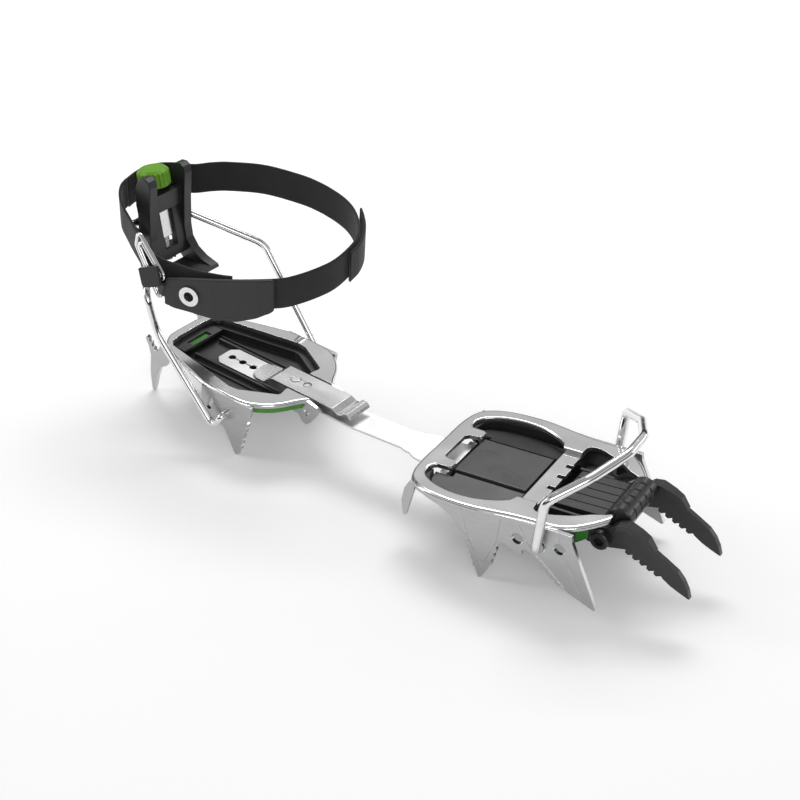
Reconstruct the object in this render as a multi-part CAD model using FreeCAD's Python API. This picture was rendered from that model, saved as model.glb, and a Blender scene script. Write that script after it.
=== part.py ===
"""Step-in crampon: heel section, sliding centre bar and toe section, each from its own pieces.

Millimetres.  The heel section is built with its plate level and its upper face at z = 0.  The toe
section is built in a frame of its own (+X to the toe, +Z up from its rim) and then placed nose-up
and slightly turned, as the boot's rocker and outline ask.  At the end everything is moved so that
the origin is the middle of the whole crampon's box, on the ground that the points stand on.
"""
import FreeCAD, Part
import math
import os

Vector = FreeCAD.Vector

# ---- driving dimensions -----------------------------------------------------------------------
TOE_ORIGIN = Vector(175.7, 10.8, 6.1)   # middle of the toe section's rim, from the heel's
TOE_YAW = 5.8
TOE_PITCH = 5.7
GROUND = 39.4                           # heel rim above the ground

TOE_SHEET = 2.6
TOE_RIM_ROUND = 2.0
TOE_LIP_ROUND = 0.9                     # along the long edges of the openings
TOE_HOLE_DIAMETER = 7.0
TOE_HOLES = [(22.1, -13.4), (35.3, -13.9), (46.8, -11.8)]
TOE_BAIL_HOLE = TOE_HOLES[1]
TOE_WIRE = 2.7                          # wire radius

HEEL_SHEET = 2.4
HEEL_RIM_ROUND = 1.8
HEEL_EAR = 40.2                         # outer face of the ears that carry the heel bail
HEEL_PIVOT = (2.6, -12.4)
HEEL_WIRE = 2.3
PIVOT_GAP = 0.1

BAR_WIDTH = 18.4
BAR_THICK = 1.3
BAR_TOP = -6.4
BAR_REAR = -36.0
HOLE_PITCH = 8.5
HOLE_FIRST = -29.4
HOLE_COUNT = 14
HOLE_RADIUS = 2.3
BAR_BEND_X = 72.0
PEG_HOLE = 6                            # the hole that the peg stands over

POINT_Y = 21.6                          # middle plane of each front point
POINT_THICK = 3.2
SPACER_COUNT = 5
SPACER_WIDTH = 6.96
BOLT = (61.0, -13.2)
BOLT_RADIUS = 3.9

SCREW_TILT = 11.5                       # the lever's screw leans back at its top
SCREW_FOOT = Vector(-85.6, 0, 65.7)     # a point of the screw's axis, level with the nut
CROSSBAR = (-92.2, 70.2)
SCREW_RADIUS = 2.6

STRAP_WIDTH = 19.6
STRAP_THICK = 1.6


# ---- helpers ----------------------------------------------------------------------------------
def polygon_face(points, plane="xy", level=0.0):
    """A flat face from 2-D points, in the XY plane at a height or the XZ plane at a depth."""
    if plane == "xy":
        corners = [Vector(a, b, level) for a, b in points]
    elif plane == "xz":
        corners = [Vector(a, level, b) for a, b in points]
    else:
        corners = [Vector(level, a, b) for a, b in points]
    return Part.Face(Part.makePolygon(corners + [corners[0]]))


def slab(points, low, high):
    """A plan outline between two heights."""
    return polygon_face(points, "xy", low).extrude(Vector(0, 0, high - low))


def side_slab(points, near, far):
    """A side outline (x, z) between two depths y."""
    return polygon_face(points, "xz", near).extrude(Vector(0, far - near, 0))


def cross_slab(points, back, front):
    """A cross outline (y, z) between two stations x."""
    return polygon_face(points, "yz", back).extrude(Vector(front - back, 0, 0))


def box(x0, x1, y0, y1, z0, z1):
    return Part.makeBox(x1 - x0, y1 - y0, z1 - z0, Vector(x0, y0, z0))


def rod(start, end, radius):
    axis = end - start
    return Part.makeCylinder(radius, axis.Length, start, axis)


def mirror(shape):
    """The other side of the crampon: the same shape with y turned round."""
    return shape.mirror(Vector(0, 0, 0), Vector(0, 1, 0))


def both_sides(shape):
    return shape.fuse(mirror(shape)).removeSplitter()


def spline_points(points, count):
    """Evenly spread points on a smooth curve through the given ones."""
    curve = Part.BSplineCurve()
    curve.interpolate([Vector(x, y, 0) for x, y in points])
    return [(p.x, p.y) for p in curve.discretize(count)]


def smooth_outline(stretches):
    """An outline of straight and smooth stretches: a stretch with more than two points is smooth."""
    edges = []
    for points in stretches:
        corners = [Vector(x, y, 0) for x, y in points]
        if len(corners) == 2:
            edges.append(Part.makeLine(corners[0], corners[1]))
        else:
            curve = Part.BSplineCurve()
            curve.interpolate(corners)
            edges.append(curve.toShape())
    return Part.Face(Part.Wire(edges))


def raise_face(face, low, high):
    lifted = face.copy()
    lifted.translate(Vector(0, 0, low))
    return lifted.extrude(Vector(0, 0, high - low))


def shifted_curve(points, distance):
    """The same run of points moved sideways, to the right of its direction."""
    moved = []
    for index, (x, y) in enumerate(points):
        before = points[max(index - 1, 0)]
        after = points[min(index + 1, len(points) - 1)]
        length = math.hypot(after[0] - before[0], after[1] - before[1])
        along = ((after[0] - before[0]) / length, (after[1] - before[1]) / length)
        moved.append((x + along[1] * distance, y - along[0] * distance))
    return moved


def wall(points, inner, outer, low, high):
    """An upright wall along a plan curve, between two sideways distances from it."""
    first = shifted_curve(points, inner)
    second = shifted_curve(points, outer)
    face = smooth_outline([first, [first[-1], second[-1]], second[::-1], [second[0], first[0]]])
    return raise_face(face, low, high)


def teeth(start, end, count, depth, side=1):
    """A saw edge of small rounded teeth from start to end; side says which way they stand out."""
    dx = (end[0] - start[0]) / count
    dz = (end[1] - start[1]) / count
    length = math.hypot(dx, dz)
    out = (dz / length * depth * side, -dx / length * depth * side)
    points = []
    for index in range(count):
        x = start[0] + dx * index
        z = start[1] + dz * index
        points.append((x, z))
        points.append((x + dx * 0.45 + out[0], z + dz * 0.45 + out[1]))
        points.append((x + dx * 0.85 + out[0] * 0.8, z + dz * 0.85 + out[1] * 0.8))
    points.append(end)
    return points


def bent_rod(points, radius, bends):
    """A round rod along straight runs joined by tangent arcs, one bend radius for each corner."""
    edges = []
    here = points[0]
    for index in range(1, len(points) - 1):
        corner = points[index]
        into = (corner - points[index - 1]).normalize()
        out = (points[index + 1] - corner).normalize()
        turn = into.getAngle(out)
        cut = bends[index - 1] * math.tan(turn / 2)
        start = corner - into * cut
        end = corner + out * cut
        centre_way = (out - into).normalize()
        middle = corner + centre_way * (bends[index - 1] * (1 / math.cos(turn / 2) - 1))
        edges.append(Part.makeLine(here, start))
        edges.append(Part.Arc(start, middle, end).toShape())
        here = end
    edges.append(Part.makeLine(here, points[-1]))
    path = Part.Wire(edges)
    circle = Part.Wire(Part.makeCircle(radius, points[0], points[1] - points[0]))
    return path.makePipeShell([circle], True, False)


def mirrored_route(points):
    """A route from its middle back to front: the far half, then the near half."""
    other = [Vector(p.x, -p.y, p.z) for p in reversed(points)]
    return other + points


def band(stations, width, thick):
    """Flat webbing: stations are (top edge point, direction of its width)."""
    wires = []
    for index, (top, down) in enumerate(stations):
        before = stations[max(index - 1, 0)][0]
        after = stations[min(index + 1, len(stations) - 1)][0]
        across = (after - before).cross(down).normalize() * (thick / 2)
        drop = Vector(down).normalize() * width
        corners = [top + across, top - across, top - across + drop, top + across + drop]
        wires.append(Part.makePolygon(corners + [corners[0]]))
    return Part.makeLoft(wires, True, True)


# ---- toe section ------------------------------------------------------------------------------
TOE_RIM = [(-52, 0), (-52, 14), (-51.4, 27), (-47.5, 39), (-40, 44.8), (-30, 47.8), (-18, 49),
           (-6, 48.9), (6, 47.2), (20, 45), (32, 44), (42, 43.4), (50, 40.4), (57, 34.5),
           (63.5, 26.5), (69.5, 16.5)]
TOE_FRONT_GAP = [(66, 15), (61.5, 20.5), (55.5, 23.5), (48, 28.8), (40, 32.6), (33, 35.2), (27, 35)]
TOE_REAR_GAP = [(11.5, 31), (4, 36), (-5, 39.4), (-15, 40.8), (-27, 39.8), (-37, 36.2),
                (-43, 31), (-44.2, 25.5), (-41, 21)]
TOE_FLANGE = [(-50.2, 31), (-47.6, 38.5), (-40, 44.6), (-30, 47.6), (-18, 48.8), (-6, 48.7),
              (6, 47.2), (20, 45.8), (34, 45.4), (52, 45.6), (72, 46)]


def toe_opening():
    """Half of the open middle of the toe rim, with the slot for the bar's end."""
    return smooth_outline([
        [(-42, 0), (-42, 11)], [(-42, 11), (-40, 13.2)], [(-40, 13.2), (-34.5, 13.8)],
        [(-34.5, 13.8), (-32.8, 15.5)], [(-32.8, 15.5), (-32.8, 19.4)],
        [(-32.8, 19.4), (-34.5, 20.8)], [(-34.5, 20.8), (-41, 21)], TOE_REAR_GAP[::-1],
        [(11.5, 31), (13.2, 27)], [(13.2, 27), (24.4, 27)], [(24.4, 27), (24.8, 33)],
        [(24.8, 33), (27, 35)], TOE_FRONT_GAP[::-1], [(66, 15), (69.5, 16.5)],
        [(69.5, 16.5), (80, 16.5)], [(80, 16.5), (80, 0)], [(80, 0), (-42, 0)]])


def toe_spike_profile():
    """The lower edge of the toe flange: rear spike, middle spike, small tooth, raked front spike."""
    outline = [(-54, 3), (-54, -3), (-36, -3.6), (-25, -5.6), (-16, -10.4), (-11, -15), (-8, -20)]
    outline += teeth((-7, -24), (-2.6, -39), 4, 0.9, 1)
    outline += [(-0.9, -45.7), (0.7, -45.7), (3.6, -41)]
    outline += teeth((5.2, -37), (9.4, -23.5), 3, 1.1, 1)
    outline += [(11.2, -20), (13.5, -18.6), (16.5, -19.4), (21.5, -24.2), (23.2, -24.8),
                (24.4, -23.6), (24.4, -20.4), (26.2, -19), (29.5, -20), (33.5, -23.4)]
    outline += teeth((35.5, -25.2), (47, -35.6), 4, 1.0, 1)
    outline += [(52, -38.2), (67.6, -44.4), (68.9, -43.6), (61.6, -24.5), (54, -5), (53.5, 3)]
    return outline


def groove(points):
    """A narrow strip along a line (x, z), used to press a shallow crease into a flange."""
    strip = None
    for start, end in zip(points[:-1], points[1:]):
        length = math.hypot(end[0] - start[0], end[1] - start[1])
        side = ((end[1] - start[1]) / length * 0.35, -(end[0] - start[0]) / length * 0.35)
        corners = [(start[0] + side[0], start[1] + side[1]), (end[0] + side[0], end[1] + side[1]),
                   (end[0] - side[0], end[1] - side[1]), (start[0] - side[0], start[1] - side[1])]
        piece = side_slab(corners, 30, 60)
        strip = piece if strip is None else strip.fuse(piece)
    return strip


def toe_frame():
    rim_face = smooth_outline([TOE_RIM, [(69.5, 16.5), (80, 16.5)], [(80, 16.5), (80, 0)],
                               [(80, 0), (-52, 0)]])
    half = raise_face(rim_face, -TOE_SHEET, 0).cut(raise_face(toe_opening(), -10, 5))
    rounded = []
    for edge in half.Edges:
        if edge.BoundBox.ZMin > -0.01 and edge.Length > 100 and edge.BoundBox.YMax > 48:
            rounded.append(edge)
    half = half.makeFillet(TOE_RIM_ROUND, rounded)
    inner = [e for e in half.Edges if e.BoundBox.ZMin > -0.01 and e.BoundBox.YMax < 42 and e.Length > 8
             and e.BoundBox.YMin > 20.5]
    half = half.makeFillet(TOE_LIP_ROUND, inner)
    flange = wall(TOE_FLANGE, 0, TOE_SHEET, -50, -1.2)
    flange = flange.common(side_slab(toe_spike_profile(), 25, 60))
    for x, z in TOE_HOLES:
        flange = flange.cut(rod(Vector(x, 30, z), Vector(x, 60, z), TOE_HOLE_DIAMETER / 2))
    skin = wall(TOE_FLANGE, 0, 0.35, -50, 0)
    creases = groove([(-11, -3), (-6, -22), (1.5, -38)]).fuse(groove([(12.5, -4), (9.8, -20), (1.5, -38)]))
    creases = creases.fuse(groove([(23.5, -4), (26, -12), (33, -20), (50, -36)]))
    creases = creases.fuse(groove([(46, -4), (50, -16), (59, -36)]))
    flange = flange.cut(skin.common(creases))
    arm = box(-34.2, -32.9, 14.4, 20.2, -7.4, -1)
    rear_spike = side_slab([(-47, -1), (-43.9, -1), (-44.2, -6), (-46.2, -12), (-50.2, -24.8),
                            (-52, -25), (-52.6, -15), (-50.4, -6.5)], 39.6, 42)
    half = half.fuse([flange, arm, rear_spike])
    half = half.cut(box(58, 90, -1, 17.8, -8, 5)).cut(box(65.2, 90, 17, 28, -3, 5))
    return both_sides(half)


def toe_bridge_plate():
    """The stamped plate across the toe, with a notched front edge."""
    outline = [(13.9, -42.8), (13.9, 42.8), (24, 42.8), (24, 17.2), (24.8, 16.4)]
    for notch in (14.6, 3.5, -8.5):
        outline += [(24.8, notch + 1.5), (20.8, notch + 1.5), (20.8, notch - 1.5), (24.8, notch - 1.5)]
    outline += [(24.8, -16.6), (24, -17.4), (24, -42.8)]
    return slab(outline, -2 * TOE_SHEET, -TOE_SHEET)


def inset_rim(distance):
    """The toe rim's outline drawn in by a distance, closed across the front."""
    half = shifted_curve(spline_points(TOE_RIM, 24)[:21], distance)
    half[0] = (half[0][0], 0)
    return half


def rim_ring(outer, inner, low, high, front):
    """A ring that follows the toe rim, up to a station x."""
    outside = inset_rim(outer) + [(front, 0)]
    inside = [(x - 3 if y == 0 else x, y) for x, y in inset_rim(inner)] + [(front + 3, -1), (-60, -1)]
    limit = box(-80, front, 0, 60, -60, 20)
    ring = slab(outside, low, high).cut(slab(inside, low - 1, high + 1))
    return ring.common(limit)


def toe_tub(lip_inset, floor_inset, step, floor, front):
    """Half of a shallow tub's solid: straight sides to the step, then sloping in to its floor."""
    levels = []
    for inset, height in ((lip_inset, step), (floor_inset, floor)):
        outline = [(-60 if y == 0 else x, -1 if y == 0 else y) for x, y in inset_rim(inset)]
        outline = [(inset_rim(inset)[0][0], -1)] + outline[1:] + [(front, outline[-1][1]), (front, -1)]
        corners = [Vector(x, y, height) for x, y in outline]
        levels.append(Part.makePolygon(corners + [corners[0]]))
    upper = Part.Face(levels[0]).extrude(Vector(0, 0, -2.8 - step))
    tub = Part.makeLoft(levels, True, True).fuse(upper)
    return tub.common(box(-80, front, 0, 60, -60, 20))


def toe_base():
    """Snow-shedding base: a shallow open tub under the rim."""
    half = toe_tub(3.2, 11.5, -5.0, -14.2, 57).cut(toe_tub(4.8, 12.8, -5.0, -12.9, 60))
    half = half.cut(box(12, 27, 20, 60, -5.8, -2)).cut(box(-70, -30, -1, 23, -13.5, 0))
    cheek = side_slab([(44, -6), (44, -12.4), (50, -14.4), (57, -9), (57.4, -4), (50, -3)], 31.1, 32.8)
    half = half.fuse(cheek)
    half = half.cut(box(48, 80, -1, 28.9, -20, 0)).cut(box(53.6, 80, -1, 30.9, -20, 0))
    return both_sides(half)


def toe_liner(side):
    """The dark upstand between the base's wall and the pads."""
    ring = rim_ring(5.1, 9.2, -12.9, -2.8, 13.5).common(toe_tub(5.0, 13.0, -5.0, -12.7, 13.5))
    ring = ring.cut(box(-70, -30, -1, 23, -16, 0))
    return ring if side > 0 else mirror(ring)


def toe_centre_pad():
    pad = box(-32.6, 11.8, -17.2, 17.8, -5.4, -3)
    return pad.makeFillet(0.6, [e for e in pad.Edges if e.BoundBox.ZMin > -3.1])


def toe_side_pad(side):
    """A sloping pad between the centre pad and the rail."""
    plan = slab([(-41.4, 22.6), (-41.2, 28.5), (-36.8, 33.8), (-27, 38.2), (-15, 39.3), (-5, 38.1),
                 (4, 35), (11.6, 30), (12.6, 19.4), (-30.5, 19.4), (-30.5, 22.6)], -20, 5)
    slope = cross_slab([(19, -3.6), (42, -8.8), (42, -10.2), (19, -5.2)], -60, 20)
    pad = plan.common(slope)
    return pad if side > 0 else mirror(pad)


def toe_front_cover():
    """The dark plate under the front opening."""
    plate = slab([(27, -33), (27, 33), (40, 30), (47.6, 25.5), (54.8, 17), (54.8, -17),
                  (47.6, -25.5), (40, -30)], -10.8, -9.4)
    ribs = box(27, 52, 19.6, 21.4, -9.5, -5.6)
    plate = plate.cut(box(49, 60, 17, 40, -20, 0)).cut(box(49, 60, -40, -17, -20, 0))
    ribs = ribs.common(box(27, 47.5, 10, 30, -10, 0))
    return plate.fuse(ribs).fuse(mirror(ribs)).removeSplitter()


def point_spacer(index):
    """One of the side-by-side spacers that keep the front points apart, on the common bolt."""
    middle = (index - (SPACER_COUNT - 1) / 2) * SPACER_WIDTH
    near = middle - SPACER_WIDTH / 2 + 0.05
    far = middle + SPACER_WIDTH / 2 - 0.05
    nose = rod(Vector(67.8, near, -2.9), Vector(67.8, far, -2.9), 7.0)
    nose = nose.makeChamfer(0.8, nose.Edges)
    neck = side_slab([(61, -1), (67, -9.6), (67, -18), (56, -18.6), (55.4, -8), (58, -4.4)], near, far)
    leaf = side_slab([(28.5, -6), (30, -4.6), (62, -3.6), (62, -6.6), (30, -7.4), (28.5, -7)],
                     near + 0.3, far - 0.3)
    piece = nose.fuse(neck).fuse(leaf)
    bore = rod(Vector(BOLT[0], near - 1, BOLT[1]), Vector(BOLT[0], far + 1, BOLT[1]), BOLT_RADIUS + 0.1)
    return piece.cut(bore).removeSplitter()


def front_point(side):
    """A hooded, serrated front point."""
    blade = [(50.5, -8), (60, -7), (66, -5.4), (70, -2.6), (75.5, -1.8), (82.8, -4.4), (87.3, -6.6),
             (91.2, -12.2), (98, -16.4), (104.4, -20.6), (108, -25), (110.6, -30.4), (111.9, -35.6),
             (110.8, -35.4), (106.2, -33.4), (100.6, -30.6), (96.2, -27.4)]
    blade += teeth((95.4, -26.2), (74.6, -16.2), 5, 2.3, -1)
    blade += [(66, -18), (59, -19.4), (52, -18.2), (49.4, -14)]
    inner = POINT_Y - POINT_THICK / 2
    outer = POINT_Y + POINT_THICK / 2
    point = side_slab(blade, inner, outer)
    root = side_slab([(53.4, -9), (66, -8), (66.4, -17.6), (54, -18)], 17.46, inner)
    roof = [(65.6, -7), (66.2, -4.2), (70, -1.4), (75.5, -0.4), (82.8, -3), (87.6, -5.6),
            (91.6, -11.8), (90, -13.6), (85.8, -8.2), (82, -5.6), (75.5, -3.2), (71, -4), (68, -7.4)]
    hood = side_slab(roof, 15, 30)
    plan = slab([(64, 18), (64, 24.6), (70, 25.4), (78, 25), (92, 23.6), (92, 19.8), (78, 18.4)], -20, 10)
    point = point.fuse(root).fuse(hood.common(plan))
    bore = rod(Vector(BOLT[0], 10, BOLT[1]), Vector(BOLT[0], 40, BOLT[1]), BOLT_RADIUS + 0.1)
    point = point.cut(bore).removeSplitter()
    return point if side > 0 else mirror(point)


def hexagon_rod(start_y, end_y, across):
    radius = across / math.sqrt(3)
    corners = []
    for index in range(6):
        angle = math.radians(60 * index)
        corners.append((BOLT[0] + radius * math.cos(angle), BOLT[1] + radius * math.sin(angle)))
    return side_slab(corners, start_y, end_y)


def point_bolt():
    """Socket-head bolt through both points and all the spacers."""
    face = POINT_Y + POINT_THICK / 2
    shank = rod(Vector(BOLT[0], -face, BOLT[1]), Vector(BOLT[0], face + 6.5, BOLT[1]), BOLT_RADIUS)
    head = rod(Vector(BOLT[0], -face - 4.6, BOLT[1]), Vector(BOLT[0], -face, BOLT[1]), 5.4)
    head = head.makeChamfer(0.6, [e for e in head.Edges if e.BoundBox.YMax < -face - 4.5])
    return shank.fuse(head).cut(hexagon_rod(-face - 6, -face - 2, 5.4)).removeSplitter()


def point_nut():
    face = POINT_Y + POINT_THICK / 2
    nut = hexagon_rod(face, face + 5, 11.5)
    return nut.cut(rod(Vector(BOLT[0], 0, BOLT[1]), Vector(BOLT[0], 60, BOLT[1]), BOLT_RADIUS + 0.05))


def toe_bail():
    """Spring-wire toe bail, hooked through the flanges' middle holes."""
    x, z = TOE_BAIL_HOLE
    half = [Vector(68, 10, 34.2), Vector(57.4, 32, 28.6), Vector(40.4, 50.2, 19.6),
            Vector(x, 50.8, z), Vector(x, 41.4, z)]
    route = mirrored_route(half)
    bends = [4.2, 7, 16, 15, 15, 16, 7, 4.2]
    return bent_rod(route, TOE_WIRE, bends)


# ---- centre bar -------------------------------------------------------------------------------
def centre_bar():
    """Flat spring-steel bar, turned in plan and tipped up where it enters the toe section."""
    half = BAR_WIDTH / 2
    low = BAR_TOP - BAR_THICK
    rear = slab([(BAR_REAR + 4, -half), (BAR_REAR, -half + 4), (BAR_REAR, half - 4),
                 (BAR_REAR + 4, half), (BAR_BEND_X, half), (BAR_BEND_X, -half)], low, BAR_TOP)
    for index in range(HOLE_COUNT):
        x = HOLE_FIRST + HOLE_PITCH * index
        rear = rear.cut(rod(Vector(x, 0, low - 1), Vector(x, 0, BAR_TOP + 1), HOLE_RADIUS))
    slit_end = HOLE_FIRST + HOLE_PITCH * (HOLE_COUNT - 1)
    rear = rear.cut(box(HOLE_FIRST, slit_end, -0.35, 0.35, low - 1, BAR_TOP + 1))
    edge = [(-1.5, half), (33, half), (36, 10.4), (39.5, 10.8), (42.5, 12.8), (46, 13.6), (50.2, 13.6)]
    front = slab(edge + [(x, -y) for x, y in reversed(edge)], low, BAR_TOP)
    tip = slab([(0, 13.6), (13.6, 13.6), (13.6, 17.4), (18.2, 17.4), (18.2, -17.4), (13.6, -17.4),
                (13.6, -13.6), (0, -13.6)], low, BAR_TOP)
    tip.rotate(Vector(0, 0, BAR_TOP), Vector(0, 1, 0), -TOE_PITCH)
    tip.translate(Vector(50, 0, 0))
    front = front.fuse(tip)
    front.rotate(Vector(0, 0, 0), Vector(0, 0, 1), TOE_YAW)
    front.translate(Vector(BAR_BEND_X, 0, 0))
    return rear.fuse(front).removeSplitter()


def toe_place(shape):
    placed = shape.copy()
    placed.rotate(Vector(0, 0, 0), Vector(0, 1, 0), -TOE_PITCH)
    placed.rotate(Vector(0, 0, 0), Vector(0, 0, 1), TOE_YAW)
    placed.translate(TOE_ORIGIN)
    return placed


# ---- heel section -----------------------------------------------------------------------------
HEEL_RIM = [(-70, 0), (-70, 7), (-69.2, 14), (-65.5, 20.4), (-58, 25.2), (-48, 29.4), (-36, 33.6),
            (-24, 37.2), (-14, 39.6), (-4, 40.2), (8, 40.1), (16, 38.8), (23, 35.2), (29, 30),
            (33.5, 24), (37, 17.6), (40.5, 12.6)]
HEEL_OPENING = [(-63.5, 0), (-63.5, 11), (-62.4, 17.6), (-59, 21.2), (-3, 31.8), (3, 31),
                (24.4, 19.2), (25, 17.4), (24, 12.6)]
CHANNEL_HALF = 10.4
CHANNEL_WALL = 2.2
TRAY_OUTLINE = [(-65.3, -1), (-65.3, 12.4), (-62.4, 20.3), (-59.8, 20.4), (-59.8, 23.1), (-2, 34),
                (4, 33), (26, 21), (26, 13.2), (23, 13.2), (23, -1)]

TRAY_WELL = [(-61.9, -1), (-61.9, 11), (-57.6, 17.4), (-2.6, 27.6), (1, 27.2), (19.6, 17), (19.6, -1)]


def ear_profile():
    outline = [(-17.4, -1), (-18, -9), (-15.6, -17), (-10, -21), (-4, -22.6), (0.4, -24.4),
               (4.4, -31.5), (8.7, -GROUND), (10.7, -GROUND)]
    outline += teeth((11.9, -35.6), (18.4, -12.4), 5, 1.1, 1)
    outline += [(20.4, -7.5), (21.4, -1)]
    return outline


def grown(points, distance):
    """An outline moved outward in x and y, away from the middle."""
    return [(x + math.copysign(distance, x), y + distance if y > 0 else y) for x, y in points]


def rear_spike_profile():
    return [(-60.4, -1), (-60.8, -8.6), (-63.6, -16.6), (-68.6, -19.6), (-71.6, -28), (-74.5, -GROUND),
            (-76.3, -GROUND), (-77.6, -26), (-76.6, -14), (-78, -8), (-80.6, -3), (-79.6, -1),
            (-77.7, -2), (-77.7, -4.2), (-75.8, -4.4), (-75.6, -6.8), (-73.8, -7), (-73.2, -9.4),
            (-71, -9), (-66.6, -1)]


def heel_frame():
    """Stamped heel frame: rim, four spikes, ears for the bail and a channel for the bar."""
    rim_face = smooth_outline([HEEL_RIM, [(40.5, 12.6), (40.5, 0)], [(40.5, 0), (-70, 0)]])
    opening = slab(HEEL_OPENING + [(24, 0)], -10, 5)
    half = raise_face(rim_face, -HEEL_SHEET, 0).cut(opening)
    half = half.cut(box(20, 50, -1, CHANNEL_HALF, -10, 5))
    rounded = [e for e in half.Edges if e.BoundBox.ZMin > -0.01 and e.Length > 100 and e.BoundBox.YMax > 39]
    half = half.makeFillet(HEEL_RIM_ROUND, rounded)
    ear = side_slab(ear_profile(), HEEL_EAR - HEEL_SHEET, HEEL_EAR)
    pivot_bore = rod(Vector(HEEL_PIVOT[0], 30, HEEL_PIVOT[1]), Vector(HEEL_PIVOT[0], 60, HEEL_PIVOT[1]),
                     HEEL_WIRE + PIVOT_GAP)
    slot = rod(Vector(-10.2, 30, -9), Vector(-10.2, 60, -9), 1.9)
    slot = slot.fuse(rod(Vector(-12, 30, -14.4), Vector(-12, 60, -14.4), 1.9))
    slot = slot.fuse(side_slab([(-12.1, -9.6), (-8.3, -8.4), (-10.1, -13.8), (-13.9, -15)], 30, 60))
    ear = ear.cut(pivot_bore).cut(slot)
    spike = side_slab(rear_spike_profile(), 20.8, 20.8 + HEEL_SHEET)
    edge = CHANNEL_HALF + CHANNEL_WALL
    cheek = side_slab([(24, -1), (24, -12), (34.5, -12.4), (37, -16.4), (40, -17.6), (43.5, -15.4),
                       (49, -8), (51, -4), (48, -2.6), (40.5, -1)], CHANNEL_HALF, edge)
    cheek = cheek.cut(side_slab([(38.2, -7.2), (44, -8), (40.2, -12.6)], 5, 20))
    floor = box(24, 40, -0.5, edge, -12, -10)
    return both_sides(half.fuse([ear, spike, cheek, floor]))


def heel_tray():
    """Dark stepped tray in the heel opening, with guides for the bar."""
    tray = slab(TRAY_OUTLINE, -5.3, -HEEL_SHEET - 0.1)
    tray = tray.fuse(slab(grown(TRAY_WELL, 1.2), -10.4, -5))
    upper = slab([(-63.2, -1), (-63.2, 10.8), (-61.6, 18.6), (-58.2, 19.2), (-58, 21.1), (-3, 31.4),
                  (3, 30.6), (24, 19), (24, -1)], -4.4, 0)
    tray = tray.cut(upper).cut(slab(TRAY_WELL, -9.4, 0)).cut(box(19, 40, -2, 12, -9.4, 0))
    tray = tray.common(box(-80, 40, 0, 40, -20, 0))
    guide = box(-50, 19, 10.2, 11.8, -9.5, -6.6)
    rib = box(-54, 8, 15.4, 16.4, -9.5, -8.2)
    shelf = box(-62.4, -53.2, 0, 17, -5.6, -4.2).cut(box(-59.4, -54.6, -1, 8.6, -6, -4))
    return both_sides(tray.fuse([guide, rib, shelf]))


def rear_insert():
    """Coloured strip behind the slot in the tray's rear shelf."""
    return box(-61.6, -53.4, -11, 11, -6.05, -5.65)


def heel_base():
    """Snow-shedding base under the tray; its lip shows under the front of the rim."""
    tray_room = slab(grown(TRAY_OUTLINE, 0.15), -5.35, 0)
    well_room = slab(grown(TRAY_WELL, 1.35), -10.45, 0)
    plate = slab(grown(TRAY_WELL, -1.5), -12, -10.45)
    skirt = slab(grown(TRAY_WELL, 2.6), -12, -5.4).common(box(6, 60, -1, 60, -20, 0))
    rim = shifted_curve(spline_points(HEEL_RIM, 30), 0.9)
    lip = slab(rim + [(40, -1), (-69, -1)], -6.1, -HEEL_SHEET - 0.05).common(box(12, 60, -1, 60, -20, 0))
    base = plate.fuse([skirt, lip]).cut(tray_room).cut(well_room)
    base = base.cut(box(-19, 22.4, HEEL_EAR - HEEL_SHEET - 0.1, 50, -20, 0))
    base = base.cut(box(18.6, 60, -5, 13.6, -20, 0))
    base = base.common(box(-90, 60, 0, 60, -20, 0))
    return both_sides(base)


CLIP_LINE = [(-7.5, -5.3), (4, -5.3), (10, -0.6), (57, -0.6), (61, -2.8), (63.4, -2.2), (65.6, 0),
             (68, 0.2), (69.8, -1.1), (70.6, -2.6)]


def adjuster_clip():
    """Spring leaf over the bar with a rolled finger lip and the peg's hole."""
    leaf = side_slab(shifted_curve(CLIP_LINE, 0.55) + shifted_curve(CLIP_LINE, -0.55)[::-1], -9, 9)
    plan = slab([(-8, -3.4), (-6.6, -6.6), (-2.6, -8.6), (2, -9), (80, -9), (80, 9), (2, 9),
                 (-2.6, 8.6), (-6.6, 6.6), (-8, 3.4)], -20, 20)
    leaf = leaf.common(plan)
    peg_x = HOLE_FIRST + HOLE_PITCH * PEG_HOLE
    for x, radius in ((peg_x, 3.3), (peg_x + 9, 2.7)):
        leaf = leaf.cut(rod(Vector(x, 0, -3), Vector(x, 0, 3), radius))
    return leaf


def clip_peg():
    """The peg that drops into a hole of the bar; it stands just above the bar here."""
    x = HOLE_FIRST + HOLE_PITCH * PEG_HOLE
    stem = rod(Vector(x, 0, BAR_TOP + 0.3), Vector(x, 0, -1), 2.0)
    stem = stem.makeChamfer(0.5, [e for e in stem.Edges if e.BoundBox.ZMax < BAR_TOP + 0.4])
    top = rod(Vector(x, 0, -1.6), Vector(x, 0, 0.4), 2.9)
    top = top.makeFillet(0.4, [e for e in top.Edges if e.BoundBox.ZMin > 0.3])
    collar = rod(Vector(x, 0, -2.3), Vector(x, 0, -1.2), 4.0)
    return stem.fuse([top, collar]).removeSplitter()


# ---- heel bail and lever ----------------------------------------------------------------------
def heel_bail():
    """Heel bail: one wire, hooked under the near ear, straight to the far ear, across the nut."""
    x, z = HEEL_PIVOT
    back, high = CROSSBAR
    near = [Vector(x, -36.4, z), Vector(x, -45.6, z), Vector(-2.6, -46, -22.6), Vector(-46.4, -46.5, 25.5),
            Vector(-54.2, -46, 47), Vector(-82.5, -20.8, 66.2), Vector(back, -20.8, high)]
    far = [Vector(back, 20.8, high), Vector(-82.5, 20.8, 66.2), Vector(-45.5, 47.4, 47.5),
           Vector(x, 45.6, z), Vector(x, 36.4, z)]
    return bent_rod(near + far, HEEL_WIRE, [3.0, 4.2, 40, 10, 7, 3.4, 3.4, 7, 14, 3.0])


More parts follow.
